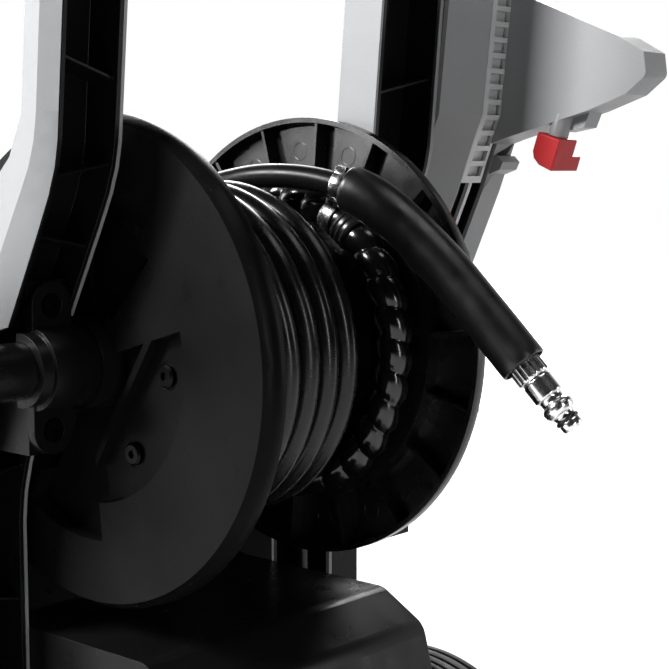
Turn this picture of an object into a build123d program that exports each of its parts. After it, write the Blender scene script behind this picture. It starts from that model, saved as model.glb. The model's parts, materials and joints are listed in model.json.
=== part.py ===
from build123d import *
import math
import os

# Pressure washer with a hose reel between two side posts.
# Millimetres, +Z up, floor at z = 0, +Y is the front and -Y the user's side.
# The reel turns about the line y = 0, z = AXIS_Z, parallel to X. save() then moves
# each node back by MID_Y, so that the origin is under the middle of the machine.

# ---- driving dimensions -------------------------------------------------
AXIS_Z = 400.0          # height of the reel's axis
MID_Y = 68.2            # middle of the machine in front of the reel's axis
FIT = 0.3               # gap between curved faces of different bodies
RUN = 0.05              # radial running clearance of shafts
SKIN = 3.0              # wall of the moulded covers

FLANGE_R = 135.0        # reel flange radius
FLANGE_X = 92.0         # outer face of each flange
RIM_W = 7.0             # width of the flange's rim cylinder
CORE_R = 53.0           # drum core
AXLE_R = 15.0           # reel axle tube
COIL_R = 98.0           # outside of the wound hose
HOSE_D = 14.0           # high-pressure hose
WRAP_D = 22.0           # hose in its spiral wrap

POST_IN = 102.0         # inner side of both posts' channels
WALL_X = 99.6           # inner face of both posts, beside the reel
POST_L = 147.0          # outer face of the left post
POST_R = 160.0          # outer face of the right post
POST_TOP = 760.0
LEAN = 5.0              # backward lean of the posts' upper part, degrees
POST_DEPTH = 29.5       # depth of the upper part of a post

BODY_X = 99.0           # half width of the pump housing
WHEEL_R = 100.0
WHEEL_Y = -58.0
WHEEL_X = (105.0, 145.0)
TUBE_R = 10.0           # handle tube
GRIP_Z = 985.0          # handle crossbar, raised

POD_OUT = 232.0         # outer face of the pod on the right post

LEAN_T = math.tan(math.radians(LEAN))

# Rear edge of both posts from the top down, as (y, z)
POST_KNEE = (-41.0, 532.0)
POST_REAR = [
    (POST_KNEE[0] - (POST_TOP - POST_KNEE[1]) * LEAN_T, POST_TOP),
    POST_KNEE, (-39.8, 518), (-37.2, 505), (-32, 491), (-22.5, 472), (-11, 450),
    (6, 418), (33.5, 357), (39.5, 341), (44, 325), (46, 308), (46, 60),
]
# Front edge of the side shells from the bottom up
SHELL_FRONT = [
    (256, 60), (276, 84), (282, 150), (274, 330), (250, 424), (232, 450), (206, 466),
    (120, 476), (40, 487), (14, 496), (-1, 510), (-11.5, 532),
    (POST_REAR[0][0] + POST_DEPTH, POST_TOP),
]
# Side outline of the pump housing, counter-clockwise from the rear foot
BODY = [
    (-92, 92), (272, 92), (272, 180), (262, 330), (238, 420), (212, 446),
    (176, 446), (160, 420), (156, 350), (118, 262), (70, 246),
    (-50, 246), (-82, 228), (-92, 190),
]
BODY_ROUND = 14.0       # radius of the housing's long edges
BODY_SPLIT = 165.0      # the front cover starts here

# How far the left post's rear bevel reaches forward at each rear point
BEVEL_BACK = [10, 10, 11, 13, 15.5, 17, 17.5, 18, 18, 18, 18, 18, 18]
BEVEL_W = 6.0           # its width, also the width of the rear wall
BEVEL_FRONT = 8.0
SHELL_LIP = {POST_L: BEVEL_W, POST_R: SKIN}     # width of each rear wall
LIP_GAP = 0.7           # shadow gap between a shell and its channel

# Rear edge of the pod from the top down
POD_REAR = [
    (-76, 690), (-60, 538), (-53, 521), (-41, 489), (-19.5, 440),
    (-4, 412), (20, 362), (30, 330),
]
POD_DEPTH = 46.0
SLOT_X = (185.5, 212.2)     # groove in the pod's rear face

# Free end of the high-pressure hose: route points
TAIL = [
    (26.8, 30, 492.5), (28.5, 4, 498.5), (33, -24, 500.5), (39.5, -52, 498),
    (44.5, -79, 490.5), (51, -103, 473.5), (57, -126, 451.5),
    (62, -148, 427.5), (67.2, -174.5, 398),
]
SLEEVE_R = 13.5
SLEEVE_START_Y = -70.0
CLAMP_R = 9.0
CLAMP_EAR = (41.0, -66.0, 505.2)

PARTS = "parts"


# ---- helpers -------------------------------------------------------------
def save(name, shape):
    """Write one node, moved so that the origin lies under the machine's middle."""
    solids = (Pos(0, -MID_Y, 0) * shape).solids()
    body = solids[0] if len(solids) == 1 else Compound(children=list(solids))
    export_step(body, os.path.join(PARTS, name + ".step"))


def plate_yz(points, x0, x1, radius=0.0):
    """Prism between x0 and x1 over an outline given as (y, z)."""
    corners = [(x0, y, z) for y, z in points]
    if radius:
        wire = FilletPolyline(corners, radius=radius, close=True)
    else:
        wire = Polyline(corners, close=True)
    return extrude(make_face(wire), amount=x1 - x0, dir=(1, 0, 0))


def box(x0, x1, y0, y1, z0, z1):
    size = (x1 - x0, y1 - y0, z1 - z0)
    centre = ((x0 + x1) / 2, (y0 + y1) / 2, (z0 + z1) / 2)
    return Pos(*centre) * Box(*size)


def rod_x(r, x0, x1, y=0.0, z=AXIS_Z):
    return Pos((x0 + x1) / 2, y, z) * Rot(0, 90, 0) * Cylinder(r, x1 - x0)


def rod_y(r, y0, y1, x, z):
    return Pos(x, (y0 + y1) / 2, z) * Rot(90, 0, 0) * Cylinder(r, y1 - y0)


def rod_z(r, z0, z1, x, y):
    return Pos(x, y, (z0 + z1) / 2) * Cylinder(r, z1 - z0)


def spun_x(profile, z=AXIS_Z, y=0.0):
    """Solid of revolution about the X line through y, z; profile is (x, r)."""
    face = make_face(Polyline([(x, 0, r) for x, r in profile], close=True))
    return Pos(0, y, z) * revolve(face, axis=Axis.X)


def spun_z(profile, x, y):
    """Solid of revolution about the Z line through x, y; profile is (r, z)."""
    face = make_face(Polyline([(r, 0, z) for r, z in profile], close=True))
    return Pos(x, y, 0) * revolve(face, axis=Axis.Z)


def inset(points, amount):
    """Counter-clockwise outline (y, z) with every side moved inward by amount."""
    moved = []
    count = len(points)
    for i in range(count):
        (ya, za), (y, z), (yb, zb) = points[i - 1], points[i], points[(i + 1) % count]
        before = Vector(y - ya, z - za).normalized()
        after = Vector(yb - y, zb - z).normalized()
        n0, n1 = Vector(-before.Y, before.X), Vector(-after.Y, after.X)
        shift = (n0 + n1) * (amount / (1 + n0.dot(n1)))
        moved.append((y + shift.X, z + shift.Y))
    return moved


def mirrored(shape):
    return mirror(shape, about=Plane.YZ)


def around(count, start=0.0):
    return [start + 360.0 * i / count for i in range(count)]


def turn(angle):
    """Rotation about the reel's axis; angle runs from -Y upward."""
    return Pos(0, 0, AXIS_Z) * Rot(-angle, 0, 0) * Pos(0, 0, -AXIS_Z)


def sector(r0, r1, a0, a1, x0, x1):
    """Ring sector about the reel's axis, angles from -Y upward."""
    steps = max(2, round(abs(a1 - a0) / 12))
    angles = [math.radians(a0 + (a1 - a0) * i / steps) for i in range(steps + 1)]
    outer = [(-r1 * 1.2 * math.cos(a), AXIS_Z + r1 * 1.2 * math.sin(a)) for a in angles]
    wedge = plate_yz([(0, AXIS_Z)] + outer, x0, x1)
    ring = rod_x(r1, x0, x1) - rod_x(r0, x0 - 1, x1 + 1)
    return wedge & ring


# ---- reel ------------------------------------------------------------------
RIB_COUNT = 18
RIB_T = 2.0
FLOOR_X = 81.5          # floor of the outer pockets
HUB_R = 24.0
POCKET_R = 97.0
D_ANGLES = (-84.0, 17.0)
D_MID = -32.5
D_R = 76.0
D_CHORD = (31.0, 35.0)  # both sides of the rib across the screw pocket
D_FLOOR = -FLOOR_X - 3.0
SCREW_RADIUS = 55.5
SCREW_ANGLES = (-58.0, -3.0)
SCREW_R = 7.5
SCREW_SEAT = D_FLOOR + 0.4
SECTOR_ANGLES = (-122.5, -84.0)
RAMP_ANGLES = (17.0, 57.5)
RAMP_TILT = 9.0
SLOT_ANGLES = (49.0, 57.5)
SLOT_R = (31.0, 76.0)   # through slot beside the ramp
DISC_R = 67.0           # end discs of the drum core
DISC_T = 12.0


def flange_disc():
    f, r = FLANGE_X, FLANGE_R
    return spun_x([
        (-f, AXLE_R + FIT), (-f, r - 4), (-f + 6, r), (-f + 6 + RIM_W, r),
        (-f + 6 + RIM_W, r - 3), (-f + SKIN, r - 5), (-f + SKIN, POCKET_R + SKIN),
        (-FLOOR_X + SKIN, POCKET_R + SKIN), (-FLOOR_X + SKIN, AXLE_R + FIT),
    ])


def flange_ribs():
    x0, x1 = -FLANGE_X + SKIN - 0.5, -FLANGE_X + 5 + RIM_W
    rib = box(x0, x1, -(FLANGE_R - 2), -(POCKET_R + 1), AXIS_Z - RIB_T / 2, AXIS_Z + RIB_T / 2)
    return [turn(a) * rib for a in around(RIB_COUNT, 5.0)]


def d_pocket():
    """Pocket for the two hub screws, with a rib along a chord."""
    x0 = -FLANGE_X - 1
    region = sector(HUB_R + 1, D_R, *D_ANGLES, x0, D_FLOOR)
    rib = box(x0, D_FLOOR, -D_CHORD[1], -D_CHORD[0], AXIS_Z - D_R, AXIS_Z + D_R)
    return region - turn(D_MID) * rib


def ramp_pocket():
    """Pocket whose floor climbs from deep at one side to flush at the other."""
    x0 = -FLANGE_X - 1
    region = sector(HUB_R + 4, POCKET_R - 1, *RAMP_ANGLES, x0, -FLOOR_X)
    ramp = plate_yz([(0, AXIS_Z), (-120, AXIS_Z), (-120, AXIS_Z + 90), (0, AXIS_Z + 90)],
                    x0 - 20, -FLANGE_X)
    tilt = Pos(-FLANGE_X, 0, AXIS_Z) * Rot(0, -RAMP_TILT, 0) * Pos(FLANGE_X, 0, -AXIS_Z)
    return region & (turn(RAMP_ANGLES[0]) * (tilt * ramp))


def left_flange():
    disc = flange_disc() + flange_ribs()
    hub = rod_x(HUB_R, -FLANGE_X - 8, -FLOOR_X) - rod_x(AXLE_R + FIT, -FLANGE_X - 9, -FLOOR_X + 1)
    cuts = []
    for half in (0, 180):
        cuts.append(turn(half) * sector(HUB_R + 1, POCKET_R, *SECTOR_ANGLES, -FLANGE_X - 1, -FLOOR_X))
        cuts.append(turn(half) * d_pocket())
        cuts.append(turn(half) * ramp_pocket())
        cuts.append(turn(half) * sector(*SLOT_R, *SLOT_ANGLES, -FLANGE_X - 1, -FLOOR_X + SKIN + 1))
        for a in SCREW_ANGLES:
            place = turn(half + a)
            cuts.append(place * rod_x(SCREW_R, -FLANGE_X - 1, SCREW_SEAT, -SCREW_RADIUS))
            cuts.append(place * rod_x(2.6, -FLANGE_X, -FLOOR_X + SKIN + 1, -SCREW_RADIUS))
    shape = disc + hub
    for cut in cuts:
        shape -= cut
    return shape


def flange_screws():
    """Pan-head screws that hold both flanges to the drum core."""
    screws = []
    for half in (0, 180):
        for a in SCREW_ANGLES:
            head = rod_x(6.2, SCREW_SEAT - 3.4, SCREW_SEAT, -SCREW_RADIUS)
            head = chamfer(head.edges().sort_by(Axis.X)[0:1], 1.2)
            shank = rod_x(2.5, SCREW_SEAT, -FLOOR_X + SKIN + 8, -SCREW_RADIUS)
            socket = rod_x(2.2, SCREW_SEAT - 4, SCREW_SEAT - 1.6, -SCREW_RADIUS)
            screws.append(turn(half + a) * (head + shank - socket))
    return screws


def drum_core():
    """Hollow drum with an end disc at each side for the flange screws."""
    x = FLOOR_X - SKIN
    drum = rod_x(CORE_R, -x, x) - rod_x(CORE_R - SKIN, -x + DISC_T, x - DISC_T)
    for side in (-1, 1):
        drum += rod_x(DISC_R, *sorted((side * x, side * (x - DISC_T))))
    drum -= rod_x(AXLE_R + 0.02, -x - 1, x + 1)
    for half in (0, 180):
        for a in SCREW_ANGLES:
            hole = turn(half + a) * rod_x(2.52, -x - 1, -x + 8.02, -SCREW_RADIUS)
            drum -= hole
            drum -= mirrored(hole)
    return drum


CRANK_X = (-187.0, -171.0)
CRANK_LEN = 118.0
KNOB_LEN = 41.0


def reel_axle():
    """Hollow axle: the water enters at its right end."""
    end = UNION_X[0]
    return rod_x(AXLE_R, CRANK_X[0] + 4, end) - rod_x(AXLE_R - 4, CRANK_X[0] + 12, end + 1)


def hose_coil():
    """Outer shape of the wound hose: full layers, then one layer less."""
    x_left, x_top, x_right = -FLOOR_X + SKIN + 0.5, 19.6, 50.0
    return spun_x([
        (x_left, DISC_R + 0.3), (x_left, COIL_R), (x_top, COIL_R),
        (x_top, COIL_R - HOSE_D), (x_right, COIL_R - HOSE_D), (x_right, CORE_R + 0.3),
        (x_left + DISC_T, CORE_R + 0.3), (x_left + DISC_T, DISC_R + 0.3),
    ])


WRAP_X = 64.0
WRAP_RING_R = 87.0


def wrapped_hose():
    """Spiral-wrapped inlet end of the hose, one turn beside the coil."""
    return Pos(WRAP_X, 0, AXIS_Z) * Rot(0, 90, 0) * Torus(WRAP_RING_R, WRAP_D / 2)


def crank_arm():
    x0, x1 = CRANK_X
    hub = rod_x(25, x0, x1)
    eye = rod_x(15, x0 + 3, x1 - 3, CRANK_LEN)
    slope = [(-1.0, -20.0), (CRANK_LEN, -13.0), (CRANK_LEN, 13.0), (-1.0, 20.0)]
    web = plate_yz([(y, AXIS_Z + z) for y, z in slope], x0 + 5, x1 - 3)
    pocket = [(32.0, -11.0), (CRANK_LEN - 22, -7.0), (CRANK_LEN - 22, 7.0), (32.0, 11.0)]
    dish = plate_yz([(y, AXIS_Z + z) for y, z in pocket], x0 + 4, x1 - 7)
    arm = hub + eye + web - dish
    arm -= rod_x(AXLE_R + 0.02, x0 + 4, x1 + 1)
    pin = rod_x(4, x0 - KNOB_LEN - 2, x0 + 6, CRANK_LEN)
    tip = rod_x(7, x0 - KNOB_LEN - 4, x0 - KNOB_LEN - 2, CRANK_LEN)
    return arm + pin + tip


def crank_knob():
    x1 = CRANK_X[0] + 2.5
    x0 = x1 - KNOB_LEN
    profile = [
        (x0, 4 + RUN), (x0 - 1, 9), (x0 + 2, 12.5), (x0 + 14, 14.5), (x0 + 26, 13.2),
        (x1 - 6, 11.2), (x1, 12.5), (x1, 4 + RUN),
    ]
    return spun_x(profile, y=CRANK_LEN)


# ---- posts -------------------------------------------------------------------
LINER_T = 2.5
LINER_DEPTH = 26.0
NOTCH_R = 23.0


def post_outline():
    return POST_REAR + SHELL_FRONT


def rear_band(depth, extra=0.0):
    """Strip along the rear edge of a post, as an outline."""
    back = [(y - extra, z) for y, z in POST_REAR]
    front = [(y + depth, z) for y, z in reversed(POST_REAR)]
    return back + front


SHELL_SCREWS = [(84, 92), (248, 100), (246, 396), (112, 446), (84, 280)]
SCREW_HOLE_R = 2.6


def outline_face(points, x):
    return make_face(Polyline([(x, y, z) for y, z in points], close=True))


def beveled(outline, back, x0, x1, x2, front=0.0):
    """Prism from x0 to x2; from x0 to x1 its rear edge, the first points, slopes back."""
    count = len(back)
    cut = [(y + b, z) for (y, z), b in zip(outline, back)]
    cut += [(y - front, z) for y, z in outline[count:]]
    slope = loft([outline_face(cut, x0), outline_face(outline, x1)], ruled=True)
    return slope + plate_yz(outline, min(x1, x2), max(x1, x2))


def side_shell(outer):
    """Moulded cover of one post and of the housing's side, open at the rear edge."""
    wall = -POST_IN + FIT
    outline = post_outline()
    hollow = inset(outline, SKIN)
    if outer == POST_L:
        x1 = -outer + BEVEL_W
        solid = beveled(outline, BEVEL_BACK, -outer, x1, -WALL_X, BEVEL_FRONT)
        inside = beveled(hollow, BEVEL_BACK, -outer + SKIN, x1 + SKIN, wall, BEVEL_FRONT)
    else:
        solid = plate_yz(outline, -outer, -WALL_X)
        inside = plate_yz(hollow, -outer + SKIN, wall)
    mouth = plate_yz(rear_band(LINER_DEPTH, 14.0), -outer + SHELL_LIP[outer], wall)
    shape = solid - inside - mouth
    for y, z in SHELL_SCREWS:
        shape += rod_x(8, -outer + 1, -BODY_X - 4, y, z)
    for y, z in SHELL_SCREWS:
        shape -= rod_x(5.4, -outer - 1, -outer + 5, y, z)
        shape -= rod_x(SCREW_HOLE_R, -outer, -BODY_X, y, z)
    shape -= rod_x(NOTCH_R, -outer - 1, wall)
    shape -= rod_x(HUB_R + 2, -POST_IN - 1, -WALL_X + 1)
    if outer == POST_R:
        shape -= rod_x(PIPE_R + 1, -POST_IN - 1, -WALL_X + 1, PIPE_Y, PIPE_Z)
    return shape


def shell_screws(outer):
    screws = []
    for y, z in SHELL_SCREWS:
        head = rod_x(4.8, -outer + 1.6, -outer + 5, y, z)
        shank = rod_x(2.4, -outer + 5, -BODY_X - 4, y, z)
        screws.append(head + shank - rod_x(1.8, -outer + 1, -outer + 3.4, y, z))
    return screws


# Slanting ribs of the channel: height at the outer wall, then at the inner wall
RIB_LEVELS = (
    (560, 549), (499.5, 506.5), (470.5, 463.5), (334, 341), (270, 263), (190, 197), (120, 113),
)
RIB_HALF = 0.8


def channel_liner(outer):
    """Ribbed U channel behind the post's rear edge, open to the rear."""
    x0, x1 = -outer + SHELL_LIP[outer] + LIP_GAP, -POST_IN
    depth = LINER_DEPTH - 0.4
    solid = plate_yz(rear_band(depth), x0, x1)
    hollow = plate_yz(rear_band(depth - LINER_T, 30.0), x0 + LINER_T, x1 - LINER_T)
    shape = solid - hollow
    inside = plate_yz(rear_band(depth - 1, -3.0), x0, x1)
    for z0, z1 in RIB_LEVELS:
        y = rear_y((z0 + z1) / 2) - 10
        low = [(x0 + 1, y, z0 - RIB_HALF), (x1 - 1, y, z1 - RIB_HALF)]
        high = [(x1 - 1, y, z1 + RIB_HALF), (x0 + 1, y, z0 + RIB_HALF)]
        face = make_face(Polyline(low + high, close=True))
        shape += extrude(face, amount=LINER_DEPTH + 20, dir=(0, 1, 0)) & inside
    if outer == POST_R:
        shape -= rod_x(PIPE_R + 1, -UNION_MID, -POST_IN + 1, PIPE_Y, PIPE_Z)
        shape -= rod_z(PIPE_R + 1, PIPE_Z, 300, -UNION_MID, PIPE_Y)
    return shape - rod_x(NOTCH_R, -outer, -POST_IN + 1)


def rear_y(z):
    """y of the post's rear edge at height z."""
    for (y0, z0), (y1, z1) in zip(POST_REAR[:-1], POST_REAR[1:]):
        if z1 <= z <= z0:
            return y0 + (y1 - y0) * (z0 - z) / (z0 - z1)
    return POST_REAR[-1][0]


# ---- reel bearings -------------------------------------------------------------
SEAT_Y = 3.0
SEAT_Z = 46.0
BEARING_X = (-129.5, -105.5)
BOSS_R = 22.0
COLLAR_R = 19.5
EAR_R = 12.9
CAP_SCREW_Z = 33.0


def bearing_block():
    x0, x1 = BEARING_X
    low, mid, high = AXIS_Z - SEAT_Z, AXIS_Z + 18, AXIS_Z + SEAT_Z
    reach = LINER_DEPTH - LINER_T - 0.8
    block = plate_yz([
        (SEAT_Y, low), (rear_y(low) + reach, low), (rear_y(mid) + reach, mid),
        (rear_y(high) + reach, high), (SEAT_Y, high)], x0, x1)
    block -= rod_x(AXLE_R + RUN, x0 - 1, x1 + 1)
    for s in (-1, 1):
        block -= rod_y(2.5, SEAT_Y - 1, SEAT_Y + 7, (x0 + x1) / 2, AXIS_Z + s * CAP_SCREW_Z)
    return block


def bearing_cap(collar):
    """Front half of a bearing; the collar is the seal's housing at its outer end."""
    x0, x1 = BEARING_X
    mid = (x0 + x1) / 2
    ring = rod_x(BOSS_R, x0, x1 + 5)
    if collar:
        ring += rod_x(COLLAR_R, x0 - 7, x0 + 1)
    behind = box(x0 - 8, x1 + 6, -BOSS_R - 1, SEAT_Y, AXIS_Z - 30, AXIS_Z + 30)
    cap = ring & behind
    for s in (-1, 1):
        ear = rod_y(EAR_R, SEAT_Y - 6, SEAT_Y, mid, AXIS_Z + s * CAP_SCREW_Z)
        low, high = sorted((AXIS_Z, AXIS_Z + s * CAP_SCREW_Z))
        cap = cap + ear + box(mid - EAR_R, mid + EAR_R, SEAT_Y - 6, SEAT_Y, low, high)
    cap -= rod_x(AXLE_R + RUN, x0 - 8, x1 + 6)
    for s in (-1, 1):
        z = AXIS_Z + s * CAP_SCREW_Z
        cap -= rod_y(6.6, SEAT_Y - 7, SEAT_Y - 3.5, mid, z)
        cap -= rod_y(2.6, SEAT_Y - 7, SEAT_Y + 1, mid, z)
    return cap


def cap_screws():
    x = sum(BEARING_X) / 2
    screws = []
    for side in (-1, 1):
        for s in (-1, 1):
            z = AXIS_Z + s * CAP_SCREW_Z
            head = rod_y(5.8, SEAT_Y - 6.2, SEAT_Y - 3.5, side * -x, z)
            shank = rod_y(2.4, SEAT_Y - 3.5, SEAT_Y + 6.5, side * -x, z)
            socket = rod_y(1.9, SEAT_Y - 7, SEAT_Y - 4.6, side * -x, z)
            screws.append(head + shank - socket)
    return screws


# ---- housing ---------------------------------------------------------------------
def body_shell(x, inner):
    outer = plate_yz(BODY, -x, x, BODY_ROUND)
    cavity = plate_yz(inset(BODY, inner), -x + inner, x - inner, BODY_ROUND - inner)
    return outer - cavity


def pump_housing():
    """Rear half of the housing: it carries the pump and faces the reel."""
    shell = body_shell(BODY_X, SKIN)
    keep = box(-BODY_X - 1, BODY_X + 1, -100, BODY_SPLIT, BASE_Z[1] + FIT, 460)
    return (shell & keep) - rod_x(PIPE_R + 1, BODY_X - 5, BODY_X + 1, PIPE_Y, PIPE_Z)


VENTS, VENT_Z, VENT_PITCH = 8, 206.0, 13.0
VENT_HALF, VENT_H = 56.0, 5.0


def front_cover():
    shell = body_shell(BODY_X, SKIN)
    keep = box(-BODY_X - 1, BODY_X + 1, BODY_SPLIT + FIT, 280, BASE_Z[1] + FIT, 460)
    cover = shell & keep
    for i in range(VENTS):
        z = VENT_Z + VENT_PITCH * i
        cover -= box(-VENT_HALF, VENT_HALF, 250, 280, z, z + VENT_H)
    cover -= rod_y(13.3, 260, 280, INLET_X, MOTOR_Z)
    cover -= rod_y(GLAND_R + 0.1, 260, 280, -INLET_X, GLAND_Z)
    cover -= rod_z(NECK_R + 0.4, 440, 450, TANK_X, TANK_Y)
    return cover - front_plane() * Cylinder(5.4, 20)


def front_plane():
    """Plane on the sloping front, at the centre of the switch."""
    y = front_y(SWITCH_Z)
    return Plane(origin=(0, y, SWITCH_Z), x_dir=(1, 0, 0), z_dir=(0, FRONT_RISE, FRONT_RUN))


BASE_Z = (44.0, 117.7)
TUNNEL = 11.0


def base_tray():
    """Floor of the machine, with the axle tunnel and the legs for the feet."""
    z0, z1 = BASE_Z
    outer = fillet(box(-BODY_X, BODY_X, -92, 272, z0, z1).edges().filter_by(Axis.Z), 14)
    inner = box(-BODY_X + SKIN, BODY_X - SKIN, -92 + SKIN, 272 - SKIN, z0 + SKIN, z1 + 1)
    tray = outer - fillet(inner.edges().filter_by(Axis.Z), 11)
    tray += box(-BODY_X, BODY_X, WHEEL_Y - TUNNEL, WHEEL_Y + TUNNEL, z0, z1)
    for x in (-FOOT_X, FOOT_X):
        tray += rod_z(17, FOOT_Z, z0 + 1, x, FOOT_Y)
    for x in (-66, -14, 40):
        tray += box(x - 8, x + 8, 24, 96, z0 + 1, MOTOR_Z - MOTOR_R - 8)
    return tray - rod_x(AXLE_ROD_R + 0.02, -BODY_X - 1, BODY_X + 1, WHEEL_Y, WHEEL_R)


FOOT_X, FOOT_Y, FOOT_Z = 72.0, 232.0, 14.0
AXLE_ROD_R = 6.0


def front_feet():
    feet = []
    for x in (-FOOT_X, FOOT_X):
        foot = spun_z([(0, 0), (14, 0), (19, 5), (19, 20), (17.02, 20), (17.02, 13.8), (0, 13.8)],
                      x, FOOT_Y)
        feet.append(foot)
    return feet


# ---- motor and pump ----------------------------------------------------------------
MOTOR_R = 46.0
MOTOR_Y, MOTOR_Z = 60.0, 178.0
MOTOR_X = (-92.0, 14.0)
PUMP_X = (14.0, 88.0)


def motor():
    x0, x1 = MOTOR_X
    can = rod_x(MOTOR_R, x0 + 8, x1 - 8, MOTOR_Y, MOTOR_Z)
    bells = rod_x(MOTOR_R - 4, x0, x1, MOTOR_Y, MOTOR_Z)
    shape = can + bells
    for a in around(12):
        fin = Pos(0, MOTOR_Y, MOTOR_Z) * Rot(a, 0, 0) * Pos(0, -MOTOR_Y, -MOTOR_Z)
        shape += fin * box(x0 + 14, x1 - 14, MOTOR_Y - 1, MOTOR_Y + 1, MOTOR_Z, MOTOR_Z + MOTOR_R + 4)
    return shape


def on_circle(r, angle):
    """Point (y, z) at radius r round the motor's axis."""
    a = math.radians(angle)
    return MOTOR_Y + r * math.cos(a), MOTOR_Z + r * math.sin(a)


def motor_cradle():
    """Rubber-faced cradle between the motor and the base."""
    z0 = MOTOR_Z - MOTOR_R - 8
    shape = box(-78, -2, 20, 100, z0, z0 + 26)
    return shape - rod_x(MOTOR_R + 4.2, -90, 10, MOTOR_Y, MOTOR_Z)


def pump():
    """Wobble-plate pump: gearbox, three cylinders and the valve head."""
    x0, x1 = PUMP_X
    shape = rod_x(40, x0, x0 + 22, MOTOR_Y, MOTOR_Z)
    for a in around(3, 90.0):
        shape += rod_x(12, x0 + 20, x1 - 26, *on_circle(21, a))
    head = rod_x(37, x1 - 28, x1, MOTOR_Y, MOTOR_Z)
    for a in around(6, 30.0):
        head += rod_x(4, x1, x1 + 4, *on_circle(29, a))
    port = rod_x(9, x1 - 2, x1 + 4, PIPE_Y, PIPE_Z)
    inlet = rod_y(10, MOTOR_Y + 30, INLET_Y[0], x1 - 14, MOTOR_Z)
    return shape + head + port + inlet


INLET_Y = (110.0, 300.0)
INLET_X = 74.0


def inlet_tube():
    """Water pipe from the front fitting to the pump head."""
    z = MOTOR_Z
    return rod_y(9, INLET_Y[0], 262, INLET_X, z) - rod_y(6, INLET_Y[0] - 1, 263, INLET_X, z)


def inlet_fitting():
    z = MOTOR_Z
    body = rod_y(13, 262, 300, INLET_X, z) + rod_y(17, 273, 280, INLET_X, z)
    return body - rod_y(8.5, 268, 301, INLET_X, z)


def inlet_filter():
    z = MOTOR_Z
    return rod_y(8.3, 269, 298, INLET_X, z) - rod_y(7.3, 270.5, 299, INLET_X, z)


UNION_X = (133.0, 154.0)
UNION_MID = 141.0
PIPE_Y, PIPE_Z = 58.0, 205.0
PIPE_R = 5.5
STUB_Y, STUB_Z = 14.0, 372.0


def rotary_union():
    """Swivel joint that feeds the axle from the right."""
    x0, x1 = UNION_X
    body = rod_x(AXLE_R + 4, x0 + 0.2, x1) + rod_x(AXLE_R - 4.1, x0 - 18, x0 + 1)
    return body + rod_z(7.3, STUB_Z, AXIS_Z, UNION_MID, STUB_Y)


def pressure_pipe():
    """Pipe from the pump's port up inside the right post to the union."""
    points = [
        (PUMP_X[1] + 4.1, PIPE_Y, PIPE_Z), (UNION_MID, PIPE_Y, PIPE_Z),
        (UNION_MID, PIPE_Y, 296), (UNION_MID, STUB_Y, 346), (UNION_MID, STUB_Y, STUB_Z - 0.1),
    ]
    return swept(FilletPolyline(points, radius=18.0), PIPE_R, PIPE_R - 2)


TANK_X, TANK_Y, NECK_R = -52.0, 194.0, 15.0


def detergent_tank():
    z0, z1 = 336, 430
    body = box(-92, -12, 172, 218, z0, z1)
    body = fillet(body.edges().filter_by(Axis.Z), 8)
    body += rod_z(NECK_R, z1 - 2, 451, TANK_X, TANK_Y)
    hollow = fillet(box(-90, -14, 174, 216, z0 + 2, z1 - 2).edges().filter_by(Axis.Z), 6)
    return body - hollow - rod_z(NECK_R - 2.5, z1 - 5, 452, TANK_X, TANK_Y)


def tank_cap():
    z = 446.3
    cap = rod_z(NECK_R + 5, z, z + 13, TANK_X, TANK_Y)
    cap = fillet(cap.edges().sort_by(Axis.Z)[-1:], 2.5)
    for i in range(18):
        a = math.radians(20 * i)
        cap -= rod_z(1.2, z - 1, z + 9, TANK_X + (NECK_R + 5.3) * math.cos(a),
                     TANK_Y + (NECK_R + 5.3) * math.sin(a))
    return cap - rod_z(NECK_R + FIT, z - 1, z + 9, TANK_X, TANK_Y)


def control_box():
    """Switch body and motor capacitor behind the front slope."""
    case = fillet(box(-8, 84, 172, 222, 340, 424).edges().filter_by(Axis.Z), 4)
    return case + rod_z(17, 300, 341, 50, 197)


GLAND_R, GLAND_Z = 9.0, 150.0


def cable_gland():
    """Sleeve where the mains lead enters the front cover."""
    body = rod_y(GLAND_R, 262, 284, -INLET_X, GLAND_Z) + rod_y(13, 272.2, 276, -INLET_X, GLAND_Z)
    body += rod_y(6.5, 284, 302, -INLET_X, GLAND_Z) + rod_y(13, 263, 266, -INLET_X, GLAND_Z)
    for i in range(4):
        body += rod_y(7.6, 286 + 4 * i, 288 + 4 * i, -INLET_X, GLAND_Z)
    return body - rod_y(3.6, 261, 303, -INLET_X, GLAND_Z)


# ---- wheels ------------------------------------------------------------------------
SPOKES = 8
TYRE_T = 13.0
GROOVE_D = 2.5          # depth of the tread's grooves
GROOVE_PITCH = 8.0


def tyre():
    x0, x1 = WHEEL_X
    r = WHEEL_R
    shape = spun_x([
        (-x1, r - TYRE_T), (-x1, r - 7), (-x1 + 7, r), (-x0 - 7, r), (-x0, r - 7),
        (-x0, r - TYRE_T)], z=WHEEL_R, y=WHEEL_Y)
    for i in range(3):
        x = -x1 + 12 + GROOVE_PITCH * i
        floor = rod_x(r - GROOVE_D, x - 2, x + 2, WHEEL_Y, WHEEL_R)
        shape -= rod_x(r + 1, x - 1, x + 1, WHEEL_Y, WHEEL_R) - floor
    return shape


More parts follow.
